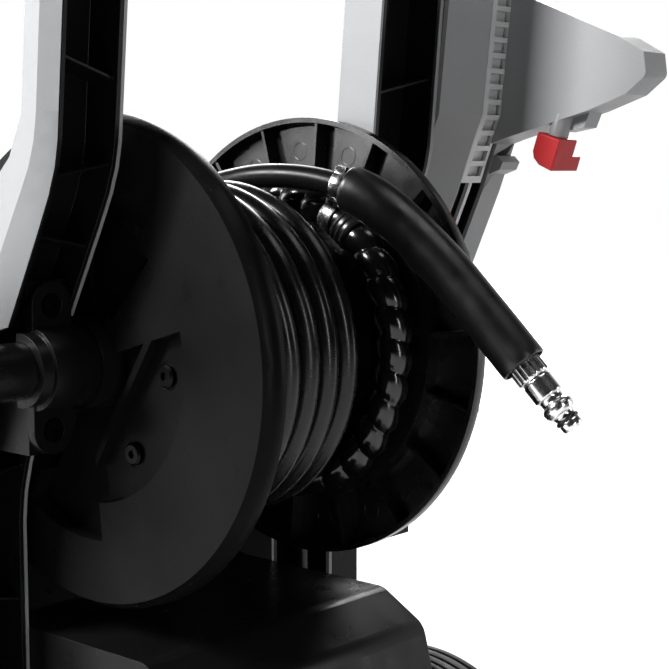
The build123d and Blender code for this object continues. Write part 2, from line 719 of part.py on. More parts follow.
def wheel_rim():
    x0, x1 = WHEEL_X
    r = WHEEL_R - TYRE_T
    band = spun_x([(-x1 + 2, r - 6), (-x1 + 2, r), (-x0 - 2, r), (-x0 - 2, r - 6)],
                  z=WHEEL_R, y=WHEEL_Y)
    hub = rod_x(21, -x1 + 4, -x0, WHEEL_Y, WHEEL_R)
    shape = band + hub
    for a in around(SPOKES):
        place = Pos(0, WHEEL_Y, WHEEL_R) * Rot(a, 0, 0) * Pos(0, -WHEEL_Y, -WHEEL_R)
        spoke = box(-x1 + 8, -x0 - 8, WHEEL_Y - 7, WHEEL_Y + 7, WHEEL_R + 15, WHEEL_R + r - 3)
        spoke -= box(-x1 + 12, -x0 - 7, WHEEL_Y - 4, WHEEL_Y + 4, WHEEL_R + 24, WHEEL_R + r - 8)
        shape += place * spoke
    return shape - rod_x(AXLE_ROD_R + RUN, -x1 - 1, -x0 + 1, WHEEL_Y, WHEEL_R)


def hub_cap():
    x1 = WHEEL_X[1]
    cap = spun_x([(-x1 + 4, 7), (-x1 + 4, 27), (-x1, 27), (-x1 - 5, 20), (-x1 - 7.5, 0), (-x1 - 4.5, 0),
                  (-x1 - 2, 7)], z=WHEEL_R, y=WHEEL_Y)
    return cap


def wheel_axle():
    end = WHEEL_X[1] + 1.5
    return rod_x(AXLE_ROD_R, -end, end, WHEEL_Y, WHEEL_R)


# ---- handle ------------------------------------------------------------------------
HANDLE_X = 117.3
TUBE_LOW = 712.0
GRIP_HALF = 62.0
TUBE_SETBACK = 12.3


def lean_y(z):
    """y of the handle tubes' centre line at height z."""
    return POST_KNEE[0] + TUBE_SETBACK - (z - POST_KNEE[1]) * LEAN_T


def handle_tube():
    bend = 38.0
    z1 = GRIP_Z
    points = [(-HANDLE_X, lean_y(TUBE_LOW), TUBE_LOW), (-HANDLE_X, lean_y(z1), z1),
              (HANDLE_X, lean_y(z1), z1), (HANDLE_X, lean_y(TUBE_LOW), TUBE_LOW)]
    path = FilletPolyline(points, radius=bend)
    normal = Plane(origin=points[0], z_dir=Vector(*points[1]) - Vector(*points[0]))
    ring = normal * (Circle(TUBE_R) - Circle(TUBE_R - 1.5))
    return sweep(ring, path=path)


def handle_grip():
    y, z = lean_y(GRIP_Z), GRIP_Z
    grip = rod_x(16, -GRIP_HALF, GRIP_HALF, y, z)
    grip = fillet(grip.edges(), 4)
    grip -= rod_x(TUBE_R + 0.02, -GRIP_HALF - 1, GRIP_HALF + 1, y, z)
    return grip - rod_y(9.3, y, y + 20, 0, z)


def grip_button():
    y, z = lean_y(GRIP_Z), GRIP_Z
    button = rod_y(9.0, y + 14.2, y + 19, 0, z)
    return fillet(button.edges().sort_by(Axis.Y)[-1:], 1.5)


def post_bushes():
    """Guide bushes at the top of the posts, round the handle's tubes."""
    bushes = []
    rear = POST_REAR[0][0]
    drop = 26.0
    plug = plate_yz([
        (rear + 1.5, POST_TOP), (rear + 1.5 + drop * LEAN_T, POST_TOP - drop),
        (rear + 21.5 + drop * LEAN_T, POST_TOP - drop), (rear + 21.5, POST_TOP)],
        -HANDLE_X - 12.3, -HANDLE_X + 12.3)
    for outer in (POST_L, POST_R):
        cap = box(-outer, -WALL_X, rear, rear + POST_DEPTH, POST_TOP + 0.02, POST_TOP + 9)
        cap = fillet(cap.edges().group_by(Axis.Z)[-1], 3)
        plugged = plug + box(-HANDLE_X - 12.3, -HANDLE_X + 12.3, rear + 1.5, rear + 21.5,
                             POST_TOP - 0.1, POST_TOP + 2) + cap
        bore = Pos(-HANDLE_X, lean_y(POST_TOP), POST_TOP) * Rot(LEAN, 0, 0) * Cylinder(TUBE_R + 0.25, 90)
        bush = plugged - bore
        bushes.append(bush if outer == POST_L else mirrored(bush))
    return bushes


# ---- pod on the right post ----------------------------------------------------
def pod_outline(back=0.0):
    rear = [(y + back, z) for y, z in POD_REAR]
    front = [(y + POD_DEPTH, z) for y, z in reversed(POD_REAR)]
    return rear + front


POD_BEVEL_W = 24.0
POD_BACK = 16.0
GROOVE_Z = (350.0, 672.0)
KNUCKLE = [(-46, 500), (-54.5, 503), (-57, 508), (-53, 512), (-45, 512)]


def pod_shell():
    """Cover on the outside of the right post, with a groove down its rear face."""
    count, x0 = len(POD_REAR), POST_R + FIT
    x1 = x0 + POD_BEVEL_W
    solid = beveled(pod_outline(), [POD_BACK] * count, x0, x1, POD_OUT)
    inside = beveled(inset(pod_outline(), SKIN), [POD_BACK + 1] * count, x0 - 1, x1 + 1, POD_OUT - SKIN)
    shape = solid - inside
    shape -= along_groove(-20.0, 10.0, *SLOT_X, *GROOVE_Z)
    knuckle = plate_yz(KNUCKLE, SLOT_X[1] + 0.3, POD_OUT)
    return shape + (knuckle - inside)


TROUGH_D = 20.0


def along_groove(near, far, x0, x1, z0, z1):
    """Strip that follows the pod's rear edge, between two depths behind it."""
    rear = POD_REAR[:-1]
    outline = [(y + near, z) for y, z in rear] + [(y + far, z) for y, z in reversed(rear)]
    return plate_yz(outline, x0, x1) & box(0, 300, -200, 200, z0, z1)


def trough():
    """Dark trough behind the groove."""
    x0, x1 = SLOT_X
    z0, z1 = GROOVE_Z[0] + 2, GROOVE_Z[1] - 2
    outer = along_groove(4.4, TROUGH_D, x0 - 2, x1 + 2, z0, z1)
    return outer - along_groove(-5.0, TROUGH_D - 2, x0 + 0.5, x1 - 0.5, z0 - 5, z1 + 5)


LADDER_Z = (494.5, 668.0)
LADDER_X = (186.0, 207.6)
RUNG_PITCH = 9.8
RUNG_GAP = 6.6
RUNG_COUNT = 17
TONGUE_X = (197.6, 200.8)


def ladder():
    """Slatted cover over the upper part of the groove, with a tongue down its middle."""
    x0, x1 = LADDER_X
    strip = along_groove(0.4, 2.6, x0, x1, *LADDER_Z)
    back = along_groove(4.6, 6.0, x0, x1, *LADDER_Z)
    back += along_groove(0.4, 6.0, x0, x0 + 1.6, *LADDER_Z)
    back += along_groove(0.4, 6.0, x1 - 1.6, x1, *LADDER_Z)
    for i in range(RUNG_COUNT):
        z = LADDER_Z[0] + 4.4 + RUNG_PITCH * i
        strip -= box(x0 + 4.8, x1 - 2.6, -200, 200, z, z + RUNG_GAP)
    tongue = along_groove(2.0, 5.0, *TONGUE_X, GROOVE_Z[0] + 40, LADDER_Z[0] + 4)
    return strip + back + tongue


ARM_X = (205.0, 231.0)
ARM = [(-40, 516), (-62, 523), (-125, 539.5), (-152, 549), (-166, 560), (-164, 574), (-146, 584),
       (-80, 612), (-50, 640), (-40, 640)]


HOOK_TOP = (211.4, -99.9, 524.3)     # centre of the hook's top face, on its pivot
HOOK_LEAN = 18.0
HOOK_HALF = (10.3, 8.65)
HOOK_H = 20.5
HOOK_TOE = 9.8
HOOK_PIN = 3.0
LUG = [(-103, 536), (-103, 527), (-118, 529.5), (-123, 541)]


def hook_place():
    return Pos(*HOOK_TOP) * Rot(HOOK_LEAN, 0, 0)


def cord_arm():
    """Arm behind the pod; the mains lead is wound over its red hook."""
    arm = fillet(plate_yz(ARM, *ARM_X).edges().filter_by(Axis.X).group_by(Axis.Y)[0], 5)
    arm -= plate_yz(pod_outline(back=-0.01), 0, 300)
    arm += hook_place() * Pos(0, 0, 7.4) * Cylinder(6.5, 14)
    arm += plate_yz(LUG, 213, 228)
    return arm - hook_place() * Pos(0, 0, 6) * Cylinder(HOOK_PIN + RUN, 13)


def cord_hook():
    """Swivelling L hook with its spigot."""
    hx, hy = HOOK_HALF
    heel = [(hy - 7, -HOOK_H + 1), (hy - 2, -HOOK_H + 4), (hy, -HOOK_H + 8)]
    side = [(hy, 0), (-hy, 0), (-hy, -HOOK_H)] + heel
    leg = plate_yz(side, -hx, hx)
    toe = plate_yz(side, hx - 1, hx + HOOK_TOE) & box(0, 40, -20, 20, -HOOK_H, -11)
    hook = fillet((leg + toe).edges().filter_by(Axis.Y), 1.0)
    return hook_place() * (hook + Pos(0, 0, 5) * Cylinder(HOOK_PIN, 12))


COVER_X = 187.0
COVER = [(46, 64), (170, 64), (176, 80), (176, 300), (160, 322), (60, 322), (46, 250)]
COVER_RIBS = 7
COVER_PITCH = 26.0
HOOK_END = 200.0        # outer end of the lower hook


def pipe_cover():
    """Service cover below the pod, with the fixed lower hook for the mains lead."""
    hollow = plate_yz(inset(COVER, SKIN), POST_R, COVER_X - SKIN)
    shape = plate_yz(COVER, POST_R + FIT, COVER_X) - hollow
    for i in range(COVER_RIBS):
        z = 110 + COVER_PITCH * i
        shape += box(COVER_X - 1, COVER_X + 1.5, 62, 160, z, z + 8)
    hook = box(POST_R + FIT, HOOK_END, 14, 56, 266, 286)
    lip = box(HOOK_END - 26, HOOK_END, 10, 15, 252, 286)
    return shape + hook + fillet(lip.edges().filter_by(Axis.X), 1.0)


# ---- controls ------------------------------------------------------------------------
SWITCH_Z = 374.0
FRONT_SLOPE = [(262.0, 330.0), (238.0, 420.0)]
SLOPE_LEN = math.hypot(24.0, 90.0)
FRONT_RISE, FRONT_RUN = 90.0 / SLOPE_LEN, 24.0 / SLOPE_LEN


def front_y(z):
    """y of the housing's sloping front at height z."""
    (y0, z0), (y1, z1) = FRONT_SLOPE
    return y0 + (y1 - y0) * (z - z0) / (z1 - z0)


def switch_bezel():
    ring = Pos(0, 0, 1.6) * (Cylinder(31, 3) - Cylinder(23.4, 4))
    return front_plane() * fillet(ring.edges().group_by(Axis.Z)[-1], 0.8)


def switch_knob():
    knob = Pos(0, 0, 4.2) * Cylinder(22.6, 8)
    grip = Pos(0, 0, 13) * Box(11, 44, 11)
    grip = fillet(grip.edges().filter_by(Axis.Z), 4)
    spindle = Pos(0, 0, -6) * Cylinder(5, 14)
    return front_plane() * (knob + grip + spindle)


# ---- hose end --------------------------------------------------------------------------
def tail_path():
    runs = [Vector(*b) - Vector(*a) for a, b in zip(TAIL[:-1], TAIL[1:])]
    radii = []
    for a, b in zip(runs[:-1], runs[1:]):
        half = math.radians(a.get_angle(b)) / 2
        radii.append(0.45 * min(a.length, b.length) / math.tan(half))
    print("hose bend radii", [round(r) for r in radii])
    return FilletPolyline(TAIL, radius=radii)


def swept(path, outer, inner=0.0):
    start = Plane(origin=path @ 0, z_dir=path % 0)
    disc = Circle(outer)
    if inner:
        disc = disc - Circle(inner)
    return sweep(start * disc, path=path)


def hose_tail(path):
    tube = swept(path, HOSE_D / 2)
    print("hose length", round(path.length, 1), "volume ratio",
          round(tube.volume / (path.length * math.pi * HOSE_D ** 2 / 4), 4))
    return tube


def hose_sleeve(path):
    tube = swept(path, SLEEVE_R, HOSE_D / 2 + 0.1)
    return tube & box(-50, 150, -300, SLEEVE_START_Y, 300, 600)


# Plug along its own axis from the sleeve's end, as (radius, distance)
PLUG = [
    (0, 0), (7, 0), (10.5, 0.6), (10.5, 9.4), (8.6, 10.4), (8.6, 22), (6.9, 23), (6.9, 26.5),
    (8.4, 27.5), (9.2, 30), (8.4, 33), (6.2, 34.5), (6.2, 36), (4.9, 36.2), (4.9, 38.8),
    (6.2, 39), (6.2, 42.5), (5.4, 43.5), (2.8, 43.5), (2.8, 20), (0, 20),
]
FLUTES = 10


def end_plane():
    a, b = Vector(*TAIL[-2]), Vector(*TAIL[-1])
    return Plane(origin=b, z_dir=b - a)


def hose_nipple():
    """Quick-connect plug: knurled collar, groove, bulge, neck and hollow tip."""
    body = spun_z(PLUG, 0, 0)
    for a in around(FLUTES):
        body -= Rot(0, 0, a) * Pos(11.2, 0, 5) * Cylinder(1.5, 7)
    return end_plane() * body


def nipple_ring():
    ring = Pos(0, 0, 37.5) * (Cylinder(6.9, 2.4) - Cylinder(5.0, 4))
    return end_plane() * ring


def hose_clamp(path):
    """Ear clamp round the hose, just before the mouth of the sleeve."""
    y1 = SLEEVE_START_Y + 9
    band = swept(path, CLAMP_R, HOSE_D / 2 + 0.05) & box(-50, 150, y1 - 8, y1, 300, 600)
    ear = Pos(*CLAMP_EAR) * Rot(-12, 0, 0) * Box(6, 7, 5)
    return band + ear


# ---- assembly --------------------------------------------------------------------------
def main():
    os.makedirs(PARTS, exist_ok=True)
    flange = left_flange()
    save("left_flange", flange)
    save("right_flange", mirrored(flange))
    screws = flange_screws()
    save("flange_screws", Compound(children=screws + [mirrored(s) for s in screws]))
    save("drum_core", drum_core())
    save("reel_axle", reel_axle())
    save("hose_coil", hose_coil())
    save("wrapped_hose", wrapped_hose())
    save("crank_arm", crank_arm())
    save("crank_knob", crank_knob())
    save("left_side_shell", side_shell(POST_L))
    save("right_side_shell", mirrored(side_shell(POST_R)))
    save("left_post_channel", channel_liner(POST_L))
    save("right_post_channel", mirrored(channel_liner(POST_R)))
    block = bearing_block()
    save("left_bearing_block", block)
    save("right_bearing_block", mirrored(block))
    save("left_bearing_cap", bearing_cap(collar=True))
    save("right_bearing_cap", mirrored(bearing_cap(collar=False)))
    save("bearing_cap_screws", Compound(children=cap_screws()))
    save("pump_housing", pump_housing())
    save("front_cover", front_cover())
    save("base_tray", base_tray())
    save("front_feet", Compound(children=front_feet()))
    save("left_shell_screws", Compound(children=shell_screws(POST_L)))
    save("right_shell_screws", Compound(children=[mirrored(s) for s in shell_screws(POST_R)]))
    save("detergent_tank", detergent_tank())
    save("tank_cap", tank_cap())
    save("control_box", control_box())
    save("cable_gland", cable_gland())
    save("pressure_pipe", pressure_pipe())
    save("switch_knob", switch_knob())
    save("motor", motor())
    save("motor_cradle", motor_cradle())
    save("pump", pump())
    save("inlet_tube", inlet_tube())
    save("inlet_fitting", inlet_fitting())
    save("inlet_filter", inlet_filter())
    save("rotary_union", rotary_union())
    for name, shape in (("tyre", tyre()), ("wheel_rim", wheel_rim()), ("hub_cap", hub_cap())):
        save("left_" + name, shape)
        save("right_" + name, mirrored(shape))
    save("wheel_axle", wheel_axle())
    save("handle_tube", handle_tube())
    save("handle_grip", handle_grip())
    save("grip_button", grip_button())
    save("post_bushes", Compound(children=post_bushes()))
    save("side_pod", pod_shell())
    save("pod_trough", trough())
    save("pod_ladder", ladder())
    save("cord_arm", cord_arm())
    save("cord_hook", cord_hook())
    save("pipe_cover", pipe_cover())
    save("switch_bezel", switch_bezel())
    path = tail_path()
    save("hose_tail", hose_tail(path))
    save("hose_sleeve", hose_sleeve(path))
    save("hose_nipple", hose_nipple())
    save("nipple_ring", nipple_ring())
    save("hose_clamp", hose_clamp(path))


if __name__ == "__main__":
    main()
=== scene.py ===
import json
import math

import bmesh
import bpy
import numpy as np
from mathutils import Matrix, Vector


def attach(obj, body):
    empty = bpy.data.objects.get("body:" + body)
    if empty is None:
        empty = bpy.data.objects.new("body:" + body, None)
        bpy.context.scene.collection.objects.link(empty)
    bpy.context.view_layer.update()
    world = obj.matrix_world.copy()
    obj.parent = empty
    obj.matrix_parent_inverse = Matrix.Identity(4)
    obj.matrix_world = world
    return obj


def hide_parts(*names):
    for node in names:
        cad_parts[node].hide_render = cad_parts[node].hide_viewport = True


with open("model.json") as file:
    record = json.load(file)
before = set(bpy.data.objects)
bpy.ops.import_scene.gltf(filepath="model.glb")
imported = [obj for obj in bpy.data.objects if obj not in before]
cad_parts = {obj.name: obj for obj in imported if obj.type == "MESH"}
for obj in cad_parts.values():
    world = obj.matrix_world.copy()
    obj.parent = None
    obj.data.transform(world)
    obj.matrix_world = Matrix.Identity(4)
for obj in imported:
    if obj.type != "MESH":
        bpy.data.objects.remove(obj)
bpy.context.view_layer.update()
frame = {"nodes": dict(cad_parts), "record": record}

nodes = frame["nodes"]

# ---- places shared by several pieces, in metres --------------------------------------
MM = 0.001
FINE = 0.0005                       # step for measuring along a line
REEL_Y, REEL_Z = -0.0682, 0.400     # the reel's axis is parallel to X
COIL_R = 0.098                      # outside of the wound hose
HOSE_R = 0.007
SLEEVE_R = 0.0135
SLEEVE_START_Y = -0.070             # measured from the reel's axis
WRAP_X, WRAP_RING_R = 0.064, 0.087  # the spiral-wrapped turn: its plane and its radius

# Route of the hose's free end: the points of its CAD tube, y measured from the reel's axis
TAIL = [
    (0.0268, 0.030, 0.4925), (0.0285, 0.004, 0.4985), (0.033, -0.024, 0.5005),
    (0.0395, -0.052, 0.498), (0.0445, -0.079, 0.4905), (0.051, -0.103, 0.4735),
    (0.057, -0.126, 0.4515), (0.062, -0.148, 0.4275), (0.0672, -0.1745, 0.398),
]


def row(point):
    """From the reel's own y, measured from its axis, to the row frame."""
    x, y, z = point
    return (x, y + REEL_Y, z)


def on_reel(x, radius, angle):
    """Point about the reel's axis, in the row frame; angle 0 faces the user, a quarter turn is up."""
    return row((x, -radius * math.cos(angle), REEL_Z + radius * math.sin(angle)))


# ---- camera --------------------------------------------------------------------------
CAMERA_PLACE = (-0.6206, -0.7084, 0.5054)
CAMERA_LOOK = (0.7477, 0.6550, -0.1092)
CAMERA_LENS = 82.5                  # mm, on a sensor 36 mm wide


def make_camera():
    """Camera on the near side of the reel, a little above its axis."""
    data = bpy.data.cameras.new("camera")
    data.sensor_width = 36.0
    data.lens = CAMERA_LENS
    data.clip_start = 0.01
    cam = bpy.data.objects.new("camera", data)
    bpy.context.collection.objects.link(cam)
    cam.location = CAMERA_PLACE
    cam.rotation_euler = Vector(CAMERA_LOOK).to_track_quat("-Z", "Y").to_euler()
    bpy.context.scene.camera = cam


make_camera()


# ---- mesh helpers --------------------------------------------------------------------
def link(name, data, body):
    """Object in the scene that rides on a body."""
    obj = bpy.data.objects.new(name, data)
    bpy.context.collection.objects.link(obj)
    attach(obj, body)
    return obj


def route(points, resolution=12):
    """Points along the NURBS line that a route's control points give, as an array."""
    data = bpy.data.curves.new("route", "CURVE")
    data.dimensions = "3D"
    spline = data.splines.new("NURBS")
    spline.points.add(len(points) - 1)
    for slot, point in zip(spline.points, points):
        slot.co = (*point, 1.0)
    spline.order_u = 3
    spline.use_endpoint_u = True
    spline.resolution_u = resolution
    probe = bpy.data.objects.new("probe", data)
    mesh = bpy.data.meshes.new_from_object(probe)
    line = np.array([v.co[:] for v in mesh.vertices])
    bpy.data.objects.remove(probe)
    bpy.data.curves.remove(data)
    bpy.data.meshes.remove(mesh)
    return line


def resample(points, step):
    """Evenly spaced points, their distances along the line and the tangents."""
    gaps = np.linalg.norm(np.diff(points, axis=0), axis=1)
    keep = np.concatenate([[True], gaps > 1e-7])
    points = points[keep]
    gaps = np.linalg.norm(np.diff(points, axis=0), axis=1)
    along = np.concatenate([[0], np.cumsum(gaps)])
    count = max(2, int(round(along[-1] / step)) + 1)
    s = np.linspace(0, along[-1], count)
    even = np.stack([np.interp(s, along, points[:, k]) for k in range(3)], 1)
    tangent = np.gradient(even, s, axis=0)
    tangent /= np.linalg.norm(tangent, axis=1)[:, None]
    return even, s, tangent


def frames(tangent):
    """Turn-free side vectors along a line."""
    side = np.array((0.0, 0.0, 1.0))
    sides = []
    for t in tangent:
        side = side - t * side.dot(t)
        side /= np.linalg.norm(side)
        sides.append(side.copy())
    sides = np.array(sides)
    return sides, np.cross(tangent, sides)


def grid_mesh(name, rings, body, u_values=None, closed=False, caps=True, crisp=False):
    """Mesh over rings of points, with a UV map: u along in metres, v around."""
    rings = np.asarray(rings)
    count, around = rings.shape[0], rings.shape[1]
    i = np.arange(count if closed else count - 1)[:, None]
    j = np.arange(around)[None, :]
    a = i * around + j
    b = i * around + (j + 1) % around
    c = ((i + 1) % count) * around + (j + 1) % around
    d = ((i + 1) % count) * around + j
    faces = np.stack([a, b, c, d], -1).reshape(-1, 4).tolist()
    if caps and not closed:
        faces.append(list(reversed(range(around))))
        faces.append(list(range((count - 1) * around, count * around)))
    mesh = bpy.data.meshes.new(name)
    mesh.from_pydata(rings.reshape(-1, 3).tolist(), [], faces)
    mesh.update()
    if u_values is not None:
        layer = mesh.uv_layers.new(name="along")
        quads = (count if closed else count - 1) * around
        uv = np.zeros((len(mesh.loops), 2))
        u0 = np.asarray(u_values)
        u1 = np.append(u0[1:], 2 * u0[-1] - u0[-2])
        ii = np.repeat(np.arange(quads // around), around)
        jj = np.tile(np.arange(around), quads // around)
        corner_u = np.stack([u0[ii], u0[ii], u1[ii], u1[ii]], 1).reshape(-1)
        corner_v = np.stack([jj, jj + 1, jj + 1, jj], 1).reshape(-1) / around
        uv[:quads * 4, 0] = corner_u
        uv[:quads * 4, 1] = corner_v
        layer.data.foreach_set("uv", uv.reshape(-1))
    mesh.polygons.foreach_set("use_smooth", [True] * len(mesh.polygons))
    obj = link(name, mesh, body)
    if crisp:
        shade_by_angle(obj)
    return obj


def tube_mesh(name, line, radius_of, body, step, around, closed=False):
    """Tube whose radius is radius_of(distance along, angle round), both arrays.

    A closed tube is a ring square to X."""
    even, s, tangent = resample(line, step)
    if closed:
        even, s, tangent = even[:-1], s[:-1], tangent[:-1]
        u = np.stack([np.ones(len(even)), np.zeros(len(even)), np.zeros(len(even))], 1)
        v = np.cross(tangent, u)
    else:
        u, v = frames(tangent)
    angle = np.linspace(0, 2 * math.pi, around, endpoint=False)
    r = radius_of(s[:, None] + 0 * angle[None, :], angle[None, :] + 0 * s[:, None])
    rings = (even[:, None, :] + (np.cos(angle) * r)[:, :, None] * u[:, None, :]
             + (np.sin(angle) * r)[:, :, None] * v[:, None, :])
    return grid_mesh(name, rings, body, s, closed)


def sleeve_mesh(name, line, profile, body):
    """Hollow tube along a line; profile is (distance along, radius), and may turn back."""
    around = 48
    even, s, tangent = resample(line, FINE)
    u, v = frames(tangent)
    angle = np.linspace(0, 2 * math.pi, around, endpoint=False)
    rings, along = [], []
    for at, r in profile:
        i = int(round(min(max(at, 0.0), s[-1]) / s[-1] * (len(s) - 1)))
        rings.append(even[i] + r * (np.cos(angle)[:, None] * u[i] + np.sin(angle)[:, None] * v[i]))
        along.append(at)
    return grid_mesh(name, rings, body, along, caps=False, crisp=True)


def supported(profile, near=0.0002, long=0.0012):
    """Profile with a point close to both ends of each long side, which keeps its shading flat."""
    out = [profile[0]]
    for (r0, h0), (r1, h1) in zip(profile[:-1], profile[1:]):
        length = math.hypot(r1 - r0, h1 - h0)
        if length > long:
            for t in (near / length, 1 - near / length):
                out.append((r0 + (r1 - r0) * t, h0 + (h1 - h0) * t))
        out.append((r1, h1))
    return out


def lathe(name, profile, origin, direction, body, around=64, flutes=None, caps=True):
    """Solid of revolution; profile is (radius, distance along direction)."""
    profile = supported(profile)
    d = Vector(direction).normalized()
    up = Vector((0, 0, 1))
    u = (up - d * up.dot(d)).normalized()
    v = d.cross(u)
    d, u, v, o = (np.array(w) for w in (d, u, v, origin))
    angle = np.linspace(0, 2 * math.pi, around, endpoint=False)
    rings = []
    for r, h in profile:
        rr = r + (flutes(angle, h) if flutes else 0 * angle)
        rings.append(o + d * h + (np.cos(angle) * rr)[:, None] * u + (np.sin(angle) * rr)[:, None] * v)
    return grid_mesh(name, rings, body, [h for _, h in profile], caps=caps, crisp=True)


def shade_by_angle(obj, degrees=32.0):
    """Smooth shading, with edges sharper than the angle kept crisp."""
    bm = bmesh.new()
    bm.from_mesh(obj.data)
    bmesh.ops.recalc_face_normals(bm, faces=bm.faces)
    limit = math.radians(degrees)
    for e in bm.edges:
        if len(e.link_faces) == 2:
            e.smooth = e.calc_face_angle(0.0) < limit
    for f in bm.faces:
        f.smooth = True
    bm.to_mesh(obj.data)
    bm.free()


def soften(obj, width):
    """Rounded edges on a moulded piece, as a modifier."""
    weld = obj.modifiers.new("weld", "WELD")
    weld.merge_threshold = 0.00002
    flat = obj.modifiers.new("flat", "DECIMATE")
    flat.decimate_type = "DISSOLVE"
    flat.angle_limit = math.radians(0.6)
    bevel = obj.modifiers.new("round", "BEVEL")
    bevel.width = width
    bevel.segments = 2
    bevel.limit_method = "ANGLE"
    bevel.angle_limit = math.radians(35.0)


# ---- materials -------------------------------------------------------------------
class Paint:
    """A small builder for one node material."""

    def __init__(self, name):
        self.mat = bpy.data.materials.new(name)
        self.mat.use_nodes = True
        self.tree = self.mat.node_tree
        self.shader = self.tree.nodes["Principled BSDF"]
        self.coords = self.tree.nodes.new("ShaderNodeTexCoord")

    def node(self, kind, **inputs):
        made = self.tree.nodes.new(kind)
        for key, value in inputs.items():
            made.inputs[key.replace("_", " ")].default_value = value
        return made

    def wire(self, a, b):
        self.tree.links.new(a, b)

    def noise(self, scale, detail=4.0, rough=0.5, stretch=None):
        tex = self.node("ShaderNodeTexNoise", Scale=scale, Detail=detail, Roughness=rough)
        if stretch:
            m = self.node("ShaderNodeMapping")
            m.inputs["Scale"].default_value = stretch
            self.wire(self.coords.outputs["Object"], m.inputs["Vector"])
            self.wire(m.outputs["Vector"], tex.inputs["Vector"])
        else:
            self.wire(self.coords.outputs["Object"], tex.inputs["Vector"])
        return tex.outputs["Fac"]

    def cells(self, scale):
        tex = self.node("ShaderNodeTexVoronoi", Scale=scale)
        self.wire(self.coords.outputs["Object"], tex.inputs["Vector"])
        return tex.outputs["Distance"]

    def ramp(self, source, low, high, a=0.3, b=0.7):
        ramp = self.tree.nodes.new("ShaderNodeValToRGB")
        ramp.color_ramp.elements[0].position = a
        ramp.color_ramp.elements[1].position = b
        ramp.color_ramp.elements[0].color = (*low, 1)
        ramp.color_ramp.elements[1].color = (*high, 1)
        self.wire(source, ramp.inputs["Fac"])
        return ramp.outputs["Color"]

    def spread(self, source, low, high):
        """A number from low to high over a noise's usual range."""
        m = self.node("ShaderNodeMapRange", From_Min=0.3, From_Max=0.7, To_Min=low, To_Max=high)
        self.wire(source, m.inputs["Value"])
        return m.outputs["Result"]

    def maths(self, operation, first, second=None, add=None):
        """One Math node; second is a number, and add is a socket."""
        m = self.node("ShaderNodeMath")
        m.operation = operation
        self.wire(first, m.inputs[0])
        if second is not None:
            m.inputs[1].default_value = second
        if add is not None:
            self.wire(add, m.inputs[2])
        return m.outputs[0]

    def bump(self, source, strength, distance, below=None):
        bump = self.node("ShaderNodeBump", Strength=strength, Distance=distance)
        self.wire(source, bump.inputs["Height"])
        if below:
            self.wire(below, bump.inputs["Normal"])
        return bump.outputs["Normal"]

    def finish(self, colour=None, rough=None, normal=None, **fixed):
        if colour is not None:
            self.wire(colour, self.shader.inputs["Base Color"])
        if rough is not None:
            self.wire(rough, self.shader.inputs["Roughness"])
        if normal is not None:
            self.wire(normal, self.shader.inputs["Normal"])
        for key, value in fixed.items():
            self.shader.inputs[key.replace("_", " ")].default_value = value
        return self.mat


def plastic(name, colour, rough, grain=0.00012, scale=2600.0, vary=0.12, specular=0.5):
    """Moulded plastic with a fine leather-like grain and slightly uneven gloss."""
    p = Paint(name)
    soft = p.noise(14.0, 3.0)
    dark = tuple(c * (1 - vary) for c in colour)
    light = tuple(min(1.0, c * (1 + vary)) for c in colour)
    colour_out = p.ramp(soft, dark, light, 0.35, 0.65)
    fine = p.noise(scale, 2.0, 0.6)
    cells = p.cells(scale * 0.55)
    n1 = p.bump(fine, 0.55, grain)
    n2 = p.bump(cells, 0.35, grain, n1)
    rough_out = p.spread(p.noise(60.0, 5.0), rough - 0.05, rough + 0.06)
    return p.finish(colour_out, rough_out, n2, Specular_IOR_Level=specular)


def rubber_look(p, colour, rough):
    """Uneven colour and gloss of a rubber."""
    base = p.ramp(p.noise(30.0, 4.0), tuple(c * 0.85 for c in colour), tuple(c * 1.25 for c in colour))
    return base, p.spread(p.noise(90.0, 6.0), rough - 0.05, rough + 0.08)


def rubber(name, colour, rough, scale=900.0, depth=0.00008):
    """Satin rubber with a fine grain."""
    p = Paint(name)
    normal = p.bump(p.noise(scale, 3.0, 0.6), 0.4, depth)
    return p.finish(*rubber_look(p, colour, rough), normal, Specular_IOR_Level=0.5)


def hose_rubber(name, colour, rough, specular):
    """Satin hose cover that shows the turns of the braid under it."""
    braid_pitch = 0.0014
    p = Paint(name)
    split = p.node("ShaderNodeSeparateXYZ")
    p.wire(p.coords.outputs["UV"], split.inputs["Vector"])
    normal = p.bump(p.noise(900.0, 3.0, 0.6), 0.25, 0.00005)
    for starts, strength in ((2, 0.1), (-2, 0.06)):
        along = p.maths("MULTIPLY", split.outputs["X"], 2 * math.pi / braid_pitch)
        phase = p.maths("MULTIPLY_ADD", split.outputs["Y"], 2 * math.pi * starts, along)
        normal = p.bump(p.maths("SINE", phase), strength, 0.00009, normal)
    return p.finish(*rubber_look(p, colour, rough), normal, Specular_IOR_Level=specular)


def metal(name, colour, rough, stretch=None, scale=400.0, depth=0.00002, spread=0.06):
    """Metal with slightly uneven gloss; stretch draws its grain out."""
    p = Paint(name)
    base = p.ramp(p.noise(40.0, 4.0), tuple(c * 0.92 for c in colour), colour)
    brushed = p.noise(scale, 3.0, 0.55, stretch)
    n = p.bump(brushed, 0.3, depth)
    rough_out = p.spread(brushed, max(0.02, rough - spread), rough + spread)
    return p.finish(base, rough_out, n, Metallic=1.0)


